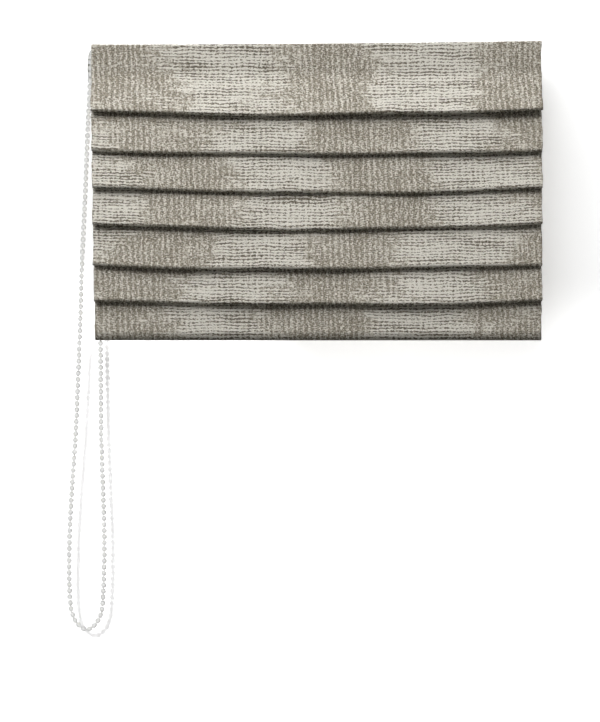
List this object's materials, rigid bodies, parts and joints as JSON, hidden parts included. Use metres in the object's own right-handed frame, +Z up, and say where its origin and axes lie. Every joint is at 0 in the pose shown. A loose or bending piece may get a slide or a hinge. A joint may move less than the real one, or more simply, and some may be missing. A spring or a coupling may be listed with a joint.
{
  "type": "roman blind",
  "caption": "Corded roman blind: folded cloth with ribs and a weighted hem hangs from a headrail on wall brackets, lifted by an endless bead chain and clutch",
  "frame": {"origin": "on the wall plane, at the centre of the four screw holes of the two wall brackets, level with the drive shaft", "axes": "+X to the right along the headrail, +Y into the wall, +Z up"},
  "size_m": [0.4665, 0.057, 0.5766],
  "materials": {
    "rail_aluminium": "satin anodised",
    "bracket_steel": "white powder coat",
    "clutch_plastic": "moulded acetal",
    "bead_plastic": "moulded beads on polyester string",
    "spring_steel": "bright wire",
    "shaft_aluminium": "mill finish",
    "rib_glass_fibre": "pultruded glass fibre",
    "clip_plastic": "clear white moulding",
    "tape_white": "woven polyester tape",
    "cloth": "coarse slub weave",
    "cord_white": "braided polyester cord",
    "bar_aluminium": "mill finish flat bar"
  },
  "bodies": {
    "rail": {"headrail": "rail_aluminium", "wall_bracket_left": "bracket_steel", "wall_bracket_right": "bracket_steel", "clutch_housing": "clutch_plastic", "wrap_spring": "spring_steel", "end_cap": "clutch_plastic", "drum_cradle_left": "clutch_plastic", "drum_cradle_right": "clutch_plastic", "hook_tape": "tape_white", "loop_tape": "tape_white", "fabric": "cloth", "lift_cord_left": "cord_white", "lift_cord_right": "cord_white", "pull_chain": "bead_plastic"},
    "drive": {"chain_wheel": "clutch_plastic", "clutch_driver": "clutch_plastic", "drive_shaft": "shaft_aluminium", "shaft_journal": "clutch_plastic", "cord_drum_left": "clutch_plastic", "cord_drum_right": "clutch_plastic"},
    "lever_left": {"bracket_lever_left": "clutch_plastic"},
    "lever_right": {"bracket_lever_right": "clutch_plastic"},
    "rib_1": {"rod_1": "rib_glass_fibre", "rod_tape_1": "tape_white", "ring_clips_1": "clip_plastic"},
    "rib_2": {"rod_2": "rib_glass_fibre", "rod_tape_2": "tape_white", "ring_clips_2": "clip_plastic"},
    "rib_3": {"rod_3": "rib_glass_fibre", "rod_tape_3": "tape_white", "ring_clips_3": "clip_plastic"},
    "rib_4": {"rod_4": "rib_glass_fibre", "rod_tape_4": "tape_white", "ring_clips_4": "clip_plastic"},
    "rib_5": {"rod_5": "rib_glass_fibre", "rod_tape_5": "tape_white", "ring_clips_5": "clip_plastic"},
    "hem": {"rod_6": "rib_glass_fibre", "rod_tape_6": "tape_white", "ring_clips_6": "clip_plastic", "bottom_bar": "bar_aluminium", "cord_anchors": "clip_plastic"}
  },
  "joints": [
    {"name": "chain_wheel_spin", "type": "hinge", "parent": "rail", "child": "drive", "pos_m": [0, -0.024, 0], "axis": [1, 0, 0], "range_deg": [0, 2520]},
    {"name": "rib_1_lift", "type": "slide", "parent": "rail", "child": "rib_1", "axis": [0, 0, -1], "range_m": [0, 0.05717], "deforming": ["fabric", "lift_cord_left", "lift_cord_right", "pull_chain"]},
    {"name": "rib_2_lift", "type": "slide", "parent": "rib_1", "child": "rib_2", "axis": [0, 0, -1], "range_m": [0, 0.0651]},
    {"name": "rib_3_lift", "type": "slide", "parent": "rib_2", "child": "rib_3", "axis": [0, 0, -1], "range_m": [0, 0.0651]},
    {"name": "rib_4_lift", "type": "slide", "parent": "rib_3", "child": "rib_4", "axis": [0, 0, -1], "range_m": [0, 0.0651]},
    {"name": "rib_5_lift", "type": "slide", "parent": "rib_4", "child": "rib_5", "axis": [0, 0, -1], "range_m": [0, 0.0651]},
    {"name": "hem_lift", "type": "slide", "parent": "rib_5", "child": "hem", "axis": [0, 0, -1], "range_m": [0, 0.0651]},
    {"name": "lever_left_turn", "type": "hinge", "parent": "rail", "child": "lever_left", "pos_m": [-0.15, -0.024, 0.0165], "axis": [0, 0, 1], "range_deg": [0, 90]},
    {"name": "lever_right_turn", "type": "hinge", "parent": "rail", "child": "lever_right", "pos_m": [0.15, -0.024, 0.0165], "axis": [0, 0, 1], "range_deg": [0, 90]}
  ],
  "couplings": [
    {"joint": "chain_wheel_spin", "follows": "rib_1_lift", "rad_per_m": 769.2},
    {"joint": "rib_2_lift", "follows": "rib_1_lift", "ratio": 1.1385},
    {"joint": "rib_3_lift", "follows": "rib_1_lift", "ratio": 1.1385},
    {"joint": "rib_4_lift", "follows": "rib_1_lift", "ratio": 1.1385},
    {"joint": "rib_5_lift", "follows": "rib_1_lift", "ratio": 1.1385},
    {"joint": "hem_lift", "follows": "rib_1_lift", "ratio": 1.1385}
  ]
}
